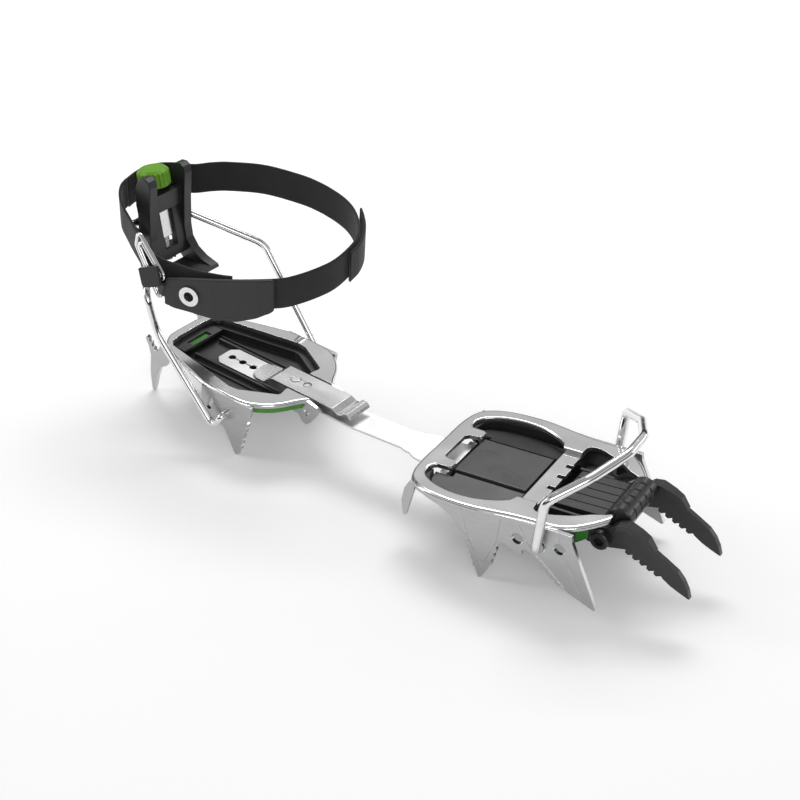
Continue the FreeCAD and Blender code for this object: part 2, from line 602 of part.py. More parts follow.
def lever_place(shape):
    """From the screw's own frame (+Z up its axis) to the heel's."""
    placed = shape.copy()
    placed.rotate(Vector(0, 0, 0), Vector(0, 1, 0), -SCREW_TILT)
    placed.translate(SCREW_FOOT)
    return placed


def crossbar_local():
    tilt = math.radians(SCREW_TILT)
    dx = CROSSBAR[0] - SCREW_FOOT.x
    dz = CROSSBAR[1] - SCREW_FOOT.z
    return (dx * math.cos(tilt) + dz * math.sin(tilt), -dx * math.sin(tilt) + dz * math.cos(tilt))


def bail_nut():
    """Block nut: the screw runs in it and the bail's crossbar turns in it."""
    x, z = crossbar_local()
    block = box(-9.6, 2.8, -4.4, 4.4, -8, 9.2)
    block = block.makeFillet(0.7, block.Edges)
    block = block.cut(rod(Vector(0, 0, -20), Vector(0, 0, 20), SCREW_RADIUS + 0.05))
    block = block.cut(rod(Vector(x, -10, z), Vector(x, 10, z), HEEL_WIRE + 0.06))
    return lever_place(block)


def lever_body():
    """Moulded heel lever: two rails, a web, two screw bearings, guides for the nut and a hooked foot."""
    rail = side_slab([(-80.9, 103.6), (-78.4, 102.2), (-77, 98.2), (-78, 82.2), (-78.4, 62.2), (-77, 54.2),
                      (-72.4, 48.2), (-65.4, 44.4), (-56.8, 42.2), (-55.8, 40.2), (-61.4, 38.6), (-71.4, 37.8),
                      (-79.4, 38.8), (-84.8, 44.2), (-87.6, 54.2), (-88.2, 64.2), (-88.2, 78.2), (-89.4, 84.2),
                      (-89.4, 95.2), (-87.4, 100.2), (-84.4, 103.2)], 11.6, 18)
    rail = rail.makeFillet(0.8, [e for e in rail.Edges if e.BoundBox.YMin > 17.9])
    web = side_slab([(-81.4, 88.4), (-81.4, 77), (-83.6, 76), (-84.2, 88.8)], 0, 12)
    foot = side_slab([(-79.4, 40.8), (-65.4, 42.2), (-56.8, 42.2),
                      (-55.8, 40.2), (-63.4, 38.8), (-79.4, 38.6)], 0, 12)
    top_bearing = lever_place(box(-5, 4, -0.5, 11.9, 19, 23.6))
    low_bearing = lever_place(box(-4.6, 5, -0.5, 11.9, -20.4, -14))
    guide = lever_place(box(0.4, 5, 5.2, 11.8, -14.2, 19.2))
    half = rail.fuse([web, foot, top_bearing, low_bearing, guide])
    half = half.common(box(-200, 0, 0, 40, 0, 200))
    body = both_sides(half)
    bore = lever_place(rod(Vector(0, 0, -30), Vector(0, 0, 60), SCREW_RADIUS + 0.15))
    return body.cut(bore.common(box(-200, 0, -5, 5, 43, 200)))


def adjuster_screw():
    screw = rod(Vector(0, 0, -22.8), Vector(0, 0, 26), SCREW_RADIUS)
    screw = screw.makeChamfer(0.5, [e for e in screw.Edges if e.BoundBox.ZMax < -22.7])
    groove_ring = rod(Vector(0, 0, -21.9), Vector(0, 0, -21), 4).cut(
        rod(Vector(0, 0, -21.9), Vector(0, 0, -21), 2.0))
    return lever_place(screw.cut(groove_ring))


def screw_clip():
    """Retaining ring in the groove at the screw's foot."""
    ring = rod(Vector(0, 0, -21.85), Vector(0, 0, -21.05), 4.6)
    ring = ring.cut(rod(Vector(0, 0, -25), Vector(0, 0, -20), 2.05))
    ring = ring.cut(box(0, 6, -1.3, 1.3, -23, -20))
    return lever_place(ring)


def adjuster_knob():
    """Ribbed thumb knob on the screw's head."""
    knob = rod(Vector(0, 0, 25.2), Vector(0, 0, 36), 9.2)
    for index in range(20):
        angle = math.radians(18 * index)
        x = 9.1 * math.cos(angle)
        y = 9.1 * math.sin(angle)
        knob = knob.fuse(rod(Vector(x, y, 25.8), Vector(x, y, 34.8), 0.8))
    knob = knob.cut(rod(Vector(0, 0, 20), Vector(0, 0, 26.05), SCREW_RADIUS + 0.05))
    crown = Part.makeCone(10.2, 7.6, 2.6, Vector(0, 0, 33.4), Vector(0, 0, 1))
    column = rod(Vector(0, 0, 20), Vector(0, 0, 33.4), 11).fuse(crown)
    return lever_place(knob.removeSplitter().common(column))


# ---- ankle strap ------------------------------------------------------------------------------
DOWN = Vector(0, 0, -1)
STRAP_LOOP = [(-102.6, -11, 95), (-103.8, -3, 95.8), (-103.6, 5, 96.4), (-100.5, 14, 96.6),
              (-93.5, 20.6, 96.8), (-83.5, 26.4, 97),
              (-74.7, 32.4, 99), (-65.4, 39, 100), (-45.4, 47.9, 101.5), (-21.2, 52, 102),
              (-6.4, 52.8, 101.5), (9, 51.6, 100), (21.1, 48, 98.5), (30.7, 42, 96.5),
              (38, 34.6, 94), (42, 26, 91.6), (42.8, 15, 88.6), (41.6, 6, 86.2), (38, -2.6, 84),
              (32.5, -11, 81.5), (25.6, -17.6, 79), (13.4, -23.6, 76), (1.7, -27.6, 73),
              (-12.8, -32.1, 69.5), (-28.9, -36.4, 65.8), (-36.5, -38.6, 64)]
STRAP_TAIL = [(28.2, 48.4, 98.8), (32.4, 45.4, 97), (37.4, 40.6, 94.8), (42.2, 33.6, 92.6),
              (44.9, 26, 90.4), (45.4, 18, 88.4)]
STRAP_END = [(-102.5, -12.2, 95), (-100.4, -18.5, 93.8), (-96, -24, 91), (-89.5, -28, 87.5),
             (-82, -30.4, 83.5), (-75.5, -33, 81), (-68, -35.8, 78.6), (-61, -37.6, 75.5),
             (-53.5, -38.2, 72.5), (-46.5, -37, 71), (-39, -34.8, 70.4), (-27, -32.4, 70),
             (-13, -28.7, 71), (-5, -26.4, 72)]


def strap_band():
    """The webbing loop, from behind the lever round the ankle to its end tab."""
    loop = band([(Vector(*p), DOWN) for p in STRAP_LOOP], STRAP_WIDTH, STRAP_THICK)
    return loop.cut(eyelet_hole(4.0))


def strap_tail():
    """The webbing's second layer, which laps the far side of the loop."""
    return band([(Vector(*p), DOWN) for p in STRAP_TAIL], STRAP_WIDTH, STRAP_THICK)


def strap_end():
    """The end of the webbing, from behind the lever down past the buckle rings and inside the loop."""
    leans = [(0, 0), (-0.04, 0.1), (-0.12, 0.16), (-0.2, 0.14), (-0.22, 0.12), (-0.16, 0.08),
             (-0.14, 0.06), (-0.12, 0.03), (-0.06, 0), (0, 0), (0, 0), (0, 0), (0, 0), (0, 0)]
    stations = [(Vector(*p), Vector(dx, dy, -1)) for p, (dx, dy) in zip(STRAP_END, leans)]
    return band(stations, STRAP_WIDTH - 1, STRAP_THICK)


def strap_flap():
    """The webbing's free tip, which comes out between the rings' legs and hangs over them."""
    tip = side_slab([(-59.2, 65), (-43.4, 72.4), (-41.4, 61), (-42.6, 59), (-55, 53.6), (-56.8, 54.8)],
                    -47.6, -46)
    stem = box(-55, -51, -46.4, -39.5, 62.8, 65.8)
    return tip.fuse(stem).removeSplitter()


RING_FOOT = Vector(-45.6, -42, 54.5)    # middle of the outer ring's straight side
RING_UP = Vector(0.3, -0.1, 0.95).normalize()
RING_OUT = Vector(-0.94, 0.137, 0.31).normalize()
RING_WIRE = 1.2
RING_STEP = 2.8                         # how far the inner ring is nested in the outer one
OUTER_RING = [(0, -10.5), (27.3, 11.9), (27.3, 23.1), (0, 10.5)]
INNER_RING = [(RING_STEP, -4.7), (24.5, 13.3), (24.5, 18.7), (RING_STEP, 8.7)]


def ring_point(out, up):
    """A point in the plane of the rings: how far back from their foot, how far up along it."""
    return RING_FOOT + RING_OUT * out + RING_UP * up


PATCH_LINE = [(-42.6, -42.6, 63.2), (-36.5, -41.2, 64.6), (-28.9, -39, 66.4), (-12.8, -34.7, 70.2),
              (1.7, -30.2, 73.6), (13.4, -26.2, 76.4), (21.5, -22.6, 78.4), (22.9, -21.9, 76.9)]


def ring_slab(outline, across, half):
    """A prism on the rings' plane, as thick to each side of it."""
    corners = [ring_point(out, up) - across * half for out, up in outline]
    return Part.Face(Part.makePolygon(corners + [corners[0]])).extrude(across * (2 * half))


def strap_patch():
    """Moulded reinforcement on the loop's end, deeper in its middle than the webbing."""
    depths = [17, 19.5, 21.5, 26, 27.5, 25, 21.5, 18.4]
    wires = []
    for index, (x, y, z) in enumerate(PATCH_LINE):
        before = Vector(*PATCH_LINE[max(index - 1, 0)])
        after = Vector(*PATCH_LINE[min(index + 1, len(PATCH_LINE) - 1)])
        across = (after - before).cross(DOWN).normalize() * 1.2
        top = Vector(x, y, z)
        drop = DOWN * depths[index]
        corners = [top + across, top - across, top - across + drop, top + across + drop]
        wires.append(Part.makePolygon(corners + [corners[0]]))
    sheet = Part.makeLoft(wires, True, True)
    across = RING_OUT.cross(RING_UP).normalize()
    sheet = sheet.cut(ring_slab([(-1.9, -40), (20, -40), (20, 40), (-1.9, 40)], across, 20))
    fold = ring_slab([(-3.6, -2.6), (1.4, -2.6), (1.4, 0.6), (5.0, 0.6), (5.0, 6.8), (-3.6, 6.8)], across, 2.3)
    for out in (0, RING_STEP):
        fold = fold.cut(rod(ring_point(out, -20), ring_point(out, 20), RING_WIRE + 0.4))
    return sheet.fuse(fold).cut(eyelet_hole(4.0))


def eyelet_axis():
    """A point in the patch's middle and the outward direction there."""
    start = Vector(*PATCH_LINE[2])
    along = (Vector(*PATCH_LINE[3]) - start).normalize()
    out = DOWN.cross(along).normalize()
    return start + along * 2.5 + DOWN * 11, out


def eyelet_hole(radius):
    middle, out = eyelet_axis()
    return rod(middle - out * 4.4, middle + out * 6, radius)


def strap_eyelet():
    """Metal eyelet in the patch, near the buckle rings."""
    middle, out = eyelet_axis()
    flange = rod(middle + out * 1.3, middle + out * 2.3, 6.2)
    barrel = rod(middle - out * 3.2, middle + out * 1.6, 3.8)
    return flange.fuse(barrel).cut(eyelet_hole(3.1)).removeSplitter()


def ring_loop(corners, radius, bend):
    """A closed wire loop with rounded corners."""
    count = len(corners)
    edges = []
    marks = []
    for index, corner in enumerate(corners):
        into = (corner - corners[index - 1]).normalize()
        out = (corners[(index + 1) % count] - corner).normalize()
        turn = into.getAngle(out)
        cut = bend * math.tan(turn / 2)
        inward = (out - into).normalize()
        middle = corner + inward * (bend * (1 / math.cos(turn / 2) - 1))
        marks.append((corner - into * cut, middle, corner + out * cut))
    for index, (start, middle, end) in enumerate(marks):
        edges.append(Part.Arc(start, middle, end).toShape())
        edges.append(Part.makeLine(end, marks[(index + 1) % count][0]))
    first = edges[1]
    way = first.Vertexes[1].Point - first.Vertexes[0].Point
    ring_path = Part.Wire(edges[1:] + edges[:1])
    circle = Part.Wire(Part.makeCircle(radius, first.Vertexes[0].Point, way))
    return ring_path.makePipeShell([circle], True, False)


def buckle_ring(corners):
    """One of the two nested wire rings that the end of the webbing runs past."""
    return ring_loop([ring_point(out, up) for out, up in corners], RING_WIRE, 2.4)


# ---- all pieces -------------------------------------------------------------------------------
def all_pieces():
    pieces = {
        "heel_frame": heel_frame(), "heel_tray": heel_tray(), "heel_base": heel_base(),
        "rear_insert": rear_insert(), "adjuster_clip": adjuster_clip(), "clip_peg": clip_peg(),
        "centre_bar": centre_bar(), "heel_bail": heel_bail(), "bail_nut": bail_nut(),
        "lever_body": lever_body(), "adjuster_screw": adjuster_screw(), "screw_clip": screw_clip(),
        "adjuster_knob": adjuster_knob(), "strap_band": strap_band(), "strap_tail": strap_tail(),
        "strap_end": strap_end(), "strap_patch": strap_patch(), "strap_eyelet": strap_eyelet(),
        "buckle_ring_outer": buckle_ring(OUTER_RING), "buckle_ring_inner": buckle_ring(INNER_RING),
        "strap_flap": strap_flap(),
    }
    toe = {
        "toe_frame": toe_frame(), "toe_bridge_plate": toe_bridge_plate(), "toe_base": toe_base(),
        "toe_liner_left": toe_liner(1),
        "toe_liner_right": toe_liner(-1), "toe_centre_pad": toe_centre_pad(), "toe_side_pad_left": toe_side_pad(1),
        "toe_side_pad_right": toe_side_pad(-1), "toe_front_cover": toe_front_cover(),
        "front_point_left": front_point(1), "front_point_right": front_point(-1),
        "point_bolt": point_bolt(), "point_nut": point_nut(), "toe_bail": toe_bail(),
    }
    for index in range(SPACER_COUNT):
        toe["point_spacer_%d" % (index + 1)] = point_spacer(index)
    for name, shape in toe.items():
        pieces[name] = toe_place(shape)
    return pieces


def origin_shift(pieces):
    """What moves the middle of the whole box, at ground level, to the origin."""
    bounds = FreeCAD.BoundBox()
    for shape in pieces.values():
        bounds.add(shape.optimalBoundingBox(False, False))
    return Vector(-bounds.Center.x, -bounds.Center.y, -bounds.ZMin)


def main():
    os.makedirs("parts", exist_ok=True)
    pieces = all_pieces()
    shift = origin_shift(pieces)
    print("shift", shift.x, shift.y, shift.z)
    for name, shape in pieces.items():
        moved = shape.copy()
        moved.translate(shift)
        print("%-20s solids %d valid %s volume %.0f" % (name, len(moved.Solids), moved.isValid(), moved.Volume))
        moved.exportStep("parts/%s.step" % name)


main()
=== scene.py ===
"""Looks for the step-in crampon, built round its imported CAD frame. Metres throughout."""

import math

import bpy
import numpy as np
from mathutils import Matrix, Vector


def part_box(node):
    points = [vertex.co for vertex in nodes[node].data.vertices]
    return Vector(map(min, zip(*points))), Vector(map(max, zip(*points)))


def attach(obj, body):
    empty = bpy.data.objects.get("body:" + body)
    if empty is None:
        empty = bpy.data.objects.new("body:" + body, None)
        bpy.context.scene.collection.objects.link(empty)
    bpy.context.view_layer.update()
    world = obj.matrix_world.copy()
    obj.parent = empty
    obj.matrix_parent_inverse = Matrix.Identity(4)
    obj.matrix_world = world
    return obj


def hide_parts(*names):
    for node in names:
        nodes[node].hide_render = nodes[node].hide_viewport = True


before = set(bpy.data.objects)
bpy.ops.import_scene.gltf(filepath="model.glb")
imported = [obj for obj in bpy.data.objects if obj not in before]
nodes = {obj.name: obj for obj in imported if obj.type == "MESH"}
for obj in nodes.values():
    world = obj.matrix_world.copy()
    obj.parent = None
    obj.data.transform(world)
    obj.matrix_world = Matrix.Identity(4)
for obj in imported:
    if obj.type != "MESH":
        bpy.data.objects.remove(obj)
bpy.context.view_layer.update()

MM = 0.001

# The heel section's own origin: the rim's upper face, above the middle of the bar, with the clip's
# peg PEG_X ahead of it.  The strap's and the camera's points are given from there, in millimetres.
PEG_X = 21.6
peg_low, peg_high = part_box("clip_peg")
rim_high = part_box("heel_frame")[1]
HEEL_ORIGIN = Vector(((peg_low.x + peg_high.x) / 2 - PEG_X * MM,
                      (peg_low.y + peg_high.y) / 2, rim_high.z))


def at(x, y, z):
    """A point given in millimetres from the heel section's origin."""
    return HEEL_ORIGIN + Vector((x, y, z)) * MM


# ---- node helpers -----------------------------------------------------------------------------
EDGE_SAMPLES = 4
FLAT_COSINE = 0.995    # between the true and the rounded normal, where an edge begins
EDGE_COSINE = 0.86     # and where it is in full


class Tree:
    """A material's node tree, with short calls for the nodes used here."""

    def __init__(self, name):
        self.material = bpy.data.materials.new(name)
        self.material.use_nodes = True
        self.tree = self.material.node_tree
        self.shader = self.tree.nodes["Principled BSDF"]
        self.coords = self.tree.nodes.new("ShaderNodeTexCoord")

    def link(self, source, target):
        self.tree.links.new(source, target)

    def mapped(self, scale, rotation=(0, 0, 0)):
        node = self.tree.nodes.new("ShaderNodeMapping")
        node.inputs["Scale"].default_value = scale
        node.inputs["Rotation"].default_value = rotation
        self.link(self.coords.outputs["Object"], node.inputs["Vector"])
        return node.outputs["Vector"]

    def noise(self, vector, scale, detail=3.0, rough=0.55, distortion=0.0):
        node = self.tree.nodes.new("ShaderNodeTexNoise")
        node.inputs["Scale"].default_value = scale
        node.inputs["Detail"].default_value = detail
        node.inputs["Roughness"].default_value = rough
        node.inputs["Distortion"].default_value = distortion
        self.link(vector, node.inputs["Vector"])
        return node.outputs["Fac"]

    def voronoi(self, vector, scale, feature="F1"):
        node = self.tree.nodes.new("ShaderNodeTexVoronoi")
        node.feature = feature
        node.inputs["Scale"].default_value = scale
        self.link(vector, node.inputs["Vector"])
        return node.outputs["Distance"]

    def remap(self, value, low, high):
        """0 at low, 1 at high and in proportion between them."""
        node = self.tree.nodes.new("ShaderNodeMapRange")
        node.inputs["From Min"].default_value = low
        node.inputs["From Max"].default_value = high
        node.inputs["To Min"].default_value = 0.0
        node.inputs["To Max"].default_value = 1.0
        self.link(value, node.inputs["Value"])
        return node.outputs["Result"]

    def math(self, kind, first, second=None, third=None):
        node = self.tree.nodes.new("ShaderNodeMath")
        node.operation = kind
        for index, value in enumerate((first, second, third)):
            if value is None:
                continue
            if isinstance(value, (int, float)):
                node.inputs[index].default_value = value
            else:
                self.link(value, node.inputs[index])
        return node.outputs[0]

    def blend(self, share, first, second):
        node = self.tree.nodes.new("ShaderNodeMix")
        node.data_type = "RGBA"
        self.link(share, node.inputs["Factor"])
        for label, colour in (("A", first), ("B", second)):
            socket = next(s for s in node.inputs if s.name == label and s.type == "RGBA")
            if isinstance(colour, (tuple, list)):
                socket.default_value = (*colour, 1.0)
            else:
                self.link(colour, socket)
        return next(s for s in node.outputs if s.type == "RGBA")

    def split(self, vector):
        node = self.tree.nodes.new("ShaderNodeSeparateXYZ")
        self.link(vector, node.inputs[0])
        return node.outputs

    def dot(self, vector, way, extra):
        node = self.tree.nodes.new("ShaderNodeVectorMath")
        node.operation = "DOT_PRODUCT"
        self.link(vector, node.inputs[0])
        node.inputs[1].default_value = tuple(way)
        return self.math("ADD", node.outputs["Value"], extra)

    def edge_normal(self, radius):
        """Normals rounded over sharp edges."""
        node = self.tree.nodes.new("ShaderNodeBevel")
        node.samples = EDGE_SAMPLES
        node.inputs["Radius"].default_value = radius
        return node.outputs["Normal"]

    def edge_mask(self, rounded):
        """1 on sharp edges and 0 away from them, from rounded normals."""
        geometry = self.tree.nodes.new("ShaderNodeNewGeometry")
        node = self.tree.nodes.new("ShaderNodeVectorMath")
        node.operation = "DOT_PRODUCT"
        self.link(rounded, node.inputs[0])
        self.link(geometry.outputs["Normal"], node.inputs[1])
        return self.remap(node.outputs["Value"], FLAT_COSINE, EDGE_COSINE)

    def bump(self, height, strength, distance, normal=None):
        node = self.tree.nodes.new("ShaderNodeBump")
        node.inputs["Strength"].default_value = strength
        node.inputs["Distance"].default_value = distance
        self.link(height, node.inputs["Height"])
        if normal is not None:
            self.link(normal, node.inputs["Normal"])
        return node.outputs["Normal"]

    def set(self, **values):
        for name, value in values.items():
            self.shader.inputs[name.replace("_", " ")].default_value = value

    def feed(self, name, source):
        self.link(source, self.shader.inputs[name])


# ---- materials --------------------------------------------------------------------------------
def polished_sheet(name, flat_rough, polish_rough, streak_scale):
    """Stamped steel: smoother where it lies level, rougher on its upright flanges. Its colour is paler on
    level faces and darker on the flanges, painted light and painted shade by facing, and paler along sharp
    edges, a painted highlight.
    """
    t = Tree(name)
    streaks = t.noise(t.mapped(streak_scale), 1.0, 4.0, 0.6)
    clouds = t.noise(t.mapped((1, 1, 1)), 45.0, 3.0, 0.5)
    specks = t.noise(t.mapped((1, 1, 1)), 1900.0, 2.0, 0.6)
    up = t.split(t.coords.outputs["Normal"])[2]
    level_polish_and_light = t.remap(t.math("ABSOLUTE", up), 0.12, 0.55)
    rounded = t.edge_normal(0.00045)
    edge = t.edge_mask(rounded)
    # Upright faces get the darker colour and level faces the paler one: painted shade and painted light by
    # facing, over the brushing streaks and random clouds.
    upright_shaded = t.blend(streaks, (0.38, 0.38, 0.385), (0.56, 0.56, 0.565))
    bright = t.blend(clouds, (0.74, 0.74, 0.745), (0.86, 0.86, 0.865))
    colour = t.blend(level_polish_and_light, upright_shaded, bright)
    # Sharp edges painted paler: a painted highlight.
    t.feed("Base Color", t.blend(t.math("MULTIPLY", edge, 0.7), colour, (0.9, 0.9, 0.905)))
    grain = t.math("MULTIPLY_ADD", streaks, 0.16, -0.08)
    satin_rough = t.math("ADD", grain, flat_rough)
    shiny_rough = t.math("MULTIPLY_ADD", clouds, 0.12, polish_rough - 0.06)
    mixed = t.math("MULTIPLY_ADD", level_polish_and_light, t.math("SUBTRACT", shiny_rough, satin_rough), satin_rough)
    t.feed("Roughness", mixed)
    height = t.math("MULTIPLY_ADD", specks, 0.35, t.math("MULTIPLY", streaks, 0.65))
    swells = t.bump(t.noise(t.mapped((1, 1, 1)), 26.0, 1.0), 0.5, 0.0028, rounded)
    t.feed("Normal", t.bump(height, 0.10, 0.00006, swells))
    t.set(Metallic=1.0, Anisotropic=0.25)
    return t.material


def brushed_strip(name, rough, base, across):
    """Spring strip, brushed along its length."""
    t = Tree(name)
    streaks = t.noise(t.mapped(across), 1.0, 5.0, 0.65)
    clouds = t.noise(t.mapped((1, 1, 1)), 60.0, 2.0)
    rounded = t.edge_normal(0.0003)
    edge = t.edge_mask(rounded)
    dark = tuple(c * 0.84 for c in base)
    colour = t.blend(streaks, dark, base)
    # Sharp edges painted paler: a painted highlight.
    t.feed("Base Color", t.blend(t.math("MULTIPLY", edge, 0.6), colour, (0.93, 0.93, 0.93)))
    spread = t.math("MULTIPLY_ADD", streaks, 0.14, rough - 0.07)
    t.feed("Roughness", t.math("MULTIPLY_ADD", clouds, 0.08, spread))
    swells = t.bump(t.noise(t.mapped((1, 1, 1)), 22.0, 0.0), 0.5, 0.0010, rounded)
    t.feed("Normal", t.bump(streaks, 0.05, 0.00002, swells))
    t.set(Metallic=1.0, Anisotropic=0.35)
    return t.material


def drawn_wire(name, rough):
    """Bright drawn wire, with faint draw marks and handling scuffs."""
    t = Tree(name)
    fine = t.noise(t.mapped((1, 1, 1)), 1500.0, 3.0)
    scuffs = t.noise(t.mapped((1, 1, 1)), 170.0, 4.0, 0.7, 1.2)
    t.feed("Base Color", t.blend(scuffs, (0.70, 0.70, 0.705), (0.88, 0.88, 0.885)))
    t.feed("Roughness", t.math("MULTIPLY_ADD", t.remap(scuffs, 0.45, 0.7), 0.14, rough))
    t.feed("Normal", t.bump(fine, 0.06, 0.00004))
    t.set(Metallic=1.0)
    return t.material


def machined(name, base, rough):
    """Turned or sheared small steel pieces."""
    t = Tree(name)
    marks = t.noise(t.mapped((900, 900, 2600)), 1.0, 3.0)
    stains = t.noise(t.mapped((1, 1, 1)), 320.0, 3.0)
    rounded = t.edge_normal(0.00025)
    edge = t.edge_mask(rounded)
    colour = t.blend(stains, tuple(c * 0.8 for c in base), base)
    # Sharp edges painted paler: a painted highlight.
    t.feed("Base Color", t.blend(t.math("MULTIPLY", edge, 0.6), colour, (0.92, 0.92, 0.92)))
    t.feed("Roughness", t.math("MULTIPLY_ADD", marks, 0.15, rough - 0.06))
    t.feed("Normal", t.bump(marks, 0.12, 0.00004, rounded))
    t.set(Metallic=1.0)
    return t.material


def coated(name, base, rough, wear):
    """Dark coated steel with a fine grain, worn along its edges."""
    t = Tree(name)
    grain = t.noise(t.mapped((1, 1, 1)), 2600.0, 2.0, 0.6)
    clouds = t.noise(t.mapped((1, 1, 1)), 130.0, 4.0, 0.6, 0.8)
    rounded = t.edge_normal(0.0004)
    patchy = t.remap(t.noise(t.mapped((1, 1, 1)), 420.0, 3.0), 0.35, 0.68)
    edge = t.math("MULTIPLY", t.edge_mask(rounded), patchy)
    light = tuple(c * 1.75 for c in base)
    colour = t.blend(clouds, base, light)
    t.feed("Base Color", t.blend(t.math("MULTIPLY", edge, wear), colour, (0.30, 0.30, 0.31)))
    t.feed("Roughness", t.math("MULTIPLY_ADD", clouds, 0.18, rough - 0.09))
    t.feed("Normal", t.bump(grain, 0.16, 0.00008, rounded))
    t.set(Metallic=0.35, Coat_Weight=0.3, Coat_Roughness=0.28)
    return t.material


def moulded(name, base, rough, grain_scale, coat=0.0, smudge=0.0):
    """Moulded plastic: fine spark texture, slight cloudiness and paler edges, a painted highlight."""
    t = Tree(name)
    grain = t.voronoi(t.mapped((1, 1, 1)), grain_scale)
    clouds = t.noise(t.mapped((1, 1, 1)), 55.0, 4.0, 0.6, 1.5)
    streaks = t.noise(t.mapped((60, 80, 60), (0, 0, 0.5)), 1.0, 1.0, 0.5, 0.6)
    rounded = t.edge_normal(0.0004)
    edge = t.edge_mask(rounded)
    colour = t.blend(clouds, tuple(c * 0.8 for c in base), tuple(c * 1.3 for c in base))
    pale = tuple(min(1.0, c * 1.9 + 0.01) for c in base)
    # Sharp edges painted paler: a painted highlight.
    t.feed("Base Color", t.blend(t.math("MULTIPLY", edge, 0.6), colour, pale))
    worn = t.math("MULTIPLY_ADD", t.remap(streaks, 0.2, 0.85), smudge, rough - 0.05)
    t.feed("Roughness", t.math("MULTIPLY_ADD", clouds, 0.12, worn))
    height = t.math("MULTIPLY_ADD", clouds, 0.5, t.math("MULTIPLY", grain, 0.5))
    t.feed("Normal", t.bump(height, 0.16, 0.00009, rounded))
    t.set(Coat_Weight=coat, Coat_Roughness=0.18, IOR=1.5)
    return t.material


def green_edged(name, green, black, rough, centre, sideways, ahead, start):
    """A base moulded in two colours: its outer sides are green, its inside and underside black."""
    t = Tree(name)
    grain = t.voronoi(t.mapped((1, 1, 1)), 1300)
    clouds = t.noise(t.mapped((1, 1, 1)), 55.0, 4.0, 0.6, 1.5)
    rounded = t.edge_normal(0.0004)
    side = t.dot(t.coords.outputs["Object"], sideways, -Vector(sideways).dot(centre))
    outward = t.math("MULTIPLY", t.math("SIGN", side), t.dot(t.coords.outputs["Normal"], sideways, 0.0))
    level = t.math("ABSOLUTE", t.split(t.coords.outputs["Normal"])[2])
    front = t.dot(t.coords.outputs["Object"], ahead, -Vector(ahead).dot(centre) - start)
    share = t.math("MULTIPLY", t.remap(outward, 0.05, 0.2), t.remap(level, 0.75, 0.6))
    share = t.math("MULTIPLY", share, t.remap(front, 0.0, 0.001))
    vivid = t.blend(clouds, tuple(c * 0.8 for c in green), tuple(c * 1.25 for c in green))
    dull = t.blend(clouds, tuple(c * 0.8 for c in black), tuple(c * 1.3 for c in black))
    t.feed("Base Color", t.blend(share, dull, vivid))
    t.feed("Roughness", t.math("MULTIPLY_ADD", clouds, 0.12, rough - 0.05))
    height = t.math("MULTIPLY_ADD", clouds, 0.5, t.math("MULTIPLY", grain, 0.5))
    t.feed("Normal", t.bump(height, 0.16, 0.00009, rounded))
    t.set(Coat_Weight=0.15, Coat_Roughness=0.2, IOR=1.5)
    return t.material


def woven(name, base):
    """Webbing: warp columns over cross ribs, with flecks of lighter thread and lint. Its colour is painted
    darker in the hollows of the weave and paler on the raised threads: painted shade and painted highlight.
    """
    t = Tree(name)
    u, v, _ = t.split(t.coords.outputs["UV"])
    rib = t.math("SINE", t.math("MULTIPLY", u, 2 * math.pi / WEAVE_PITCH))
    warp = t.math("SINE", t.math("MULTIPLY", v, 2 * math.pi / WARP_PITCH))
    offset = t.math("MULTIPLY", t.math("SIGN", warp), math.pi / 2)
    stagger = t.math("SINE", t.math("MULTIPLY_ADD", u, 2 * math.pi / WEAVE_PITCH, offset))
    threads = t.math("ABSOLUTE", warp)
    fuzz = t.noise(t.mapped((1, 1, 1)), 3200.0, 2.0, 0.7)
    dye = t.noise(t.mapped((1, 1, 1)), 60.0, 4.0, 0.6)
    height = t.math("MULTIPLY_ADD", stagger, 0.28, t.math("MULTIPLY_ADD", rib, 0.16, threads))
    height = t.math("MULTIPLY_ADD", fuzz, 0.35, height)
    # Colour follows the weave's height: hollows painted darker and raised threads paler, painted shade and
    # painted highlight; the fuzz adds random fibre tone.
    shade = t.remap(height, -0.3, 1.5)
    colour = t.blend(shade, tuple(c * 0.45 for c in base), tuple(c * 1.55 for c in base))
    t.feed("Base Color", t.blend(t.math("MULTIPLY", t.remap(dye, 0.35, 0.75), 0.5), colour,
                                 tuple(c * 1.7 for c in base)))
    t.feed("Roughness", t.math("MULTIPLY_ADD", fuzz, 0.2, 0.66))
    t.feed("Normal", t.bump(height, 0.55, 0.00012))
    t.set(Sheen_Weight=0.35, Sheen_Roughness=0.45, Specular_IOR_Level=0.3)
    t.shader.inputs["Sheen Tint"].default_value = (0.55, 0.55, 0.57, 1)
    return t.material


def rubbery(name, base):
    """Smooth moulded strap rubber with a leathery micro grain."""
    t = Tree(name)
    grain = t.voronoi(t.mapped((1, 1, 1)), 1500.0, "SMOOTH_F1")
    dents = t.noise(t.mapped((1, 1, 1)), 90.0, 3.0, 0.5, 0.6)
    dust = t.noise(t.mapped((1, 1, 1)), 700.0, 4.0, 0.7)
    colour = t.blend(dents, tuple(c * 0.8 for c in base), tuple(c * 1.3 for c in base))
    t.feed("Base Color", t.blend(t.math("MULTIPLY", t.remap(dust, 0.62, 0.8), 0.35), colour,
                                 tuple(c * 3 for c in base)))
    t.feed("Roughness", t.math("MULTIPLY_ADD", dents, 0.14, 0.46))
    height = t.math("MULTIPLY_ADD", dents, 0.6, t.math("MULTIPLY", grain, 0.4))
    t.feed("Normal", t.bump(height, 0.2, 0.0001))
    t.set(Sheen_Weight=0.08, Sheen_Roughness=0.5, IOR=1.48)
    return t.material


WEAVE_PITCH = 1.25 * MM
WARP_PITCH = 1.5 * MM
BASE_BLACK = (0.016, 0.016, 0.017)
BASE_ROUGH = 0.4

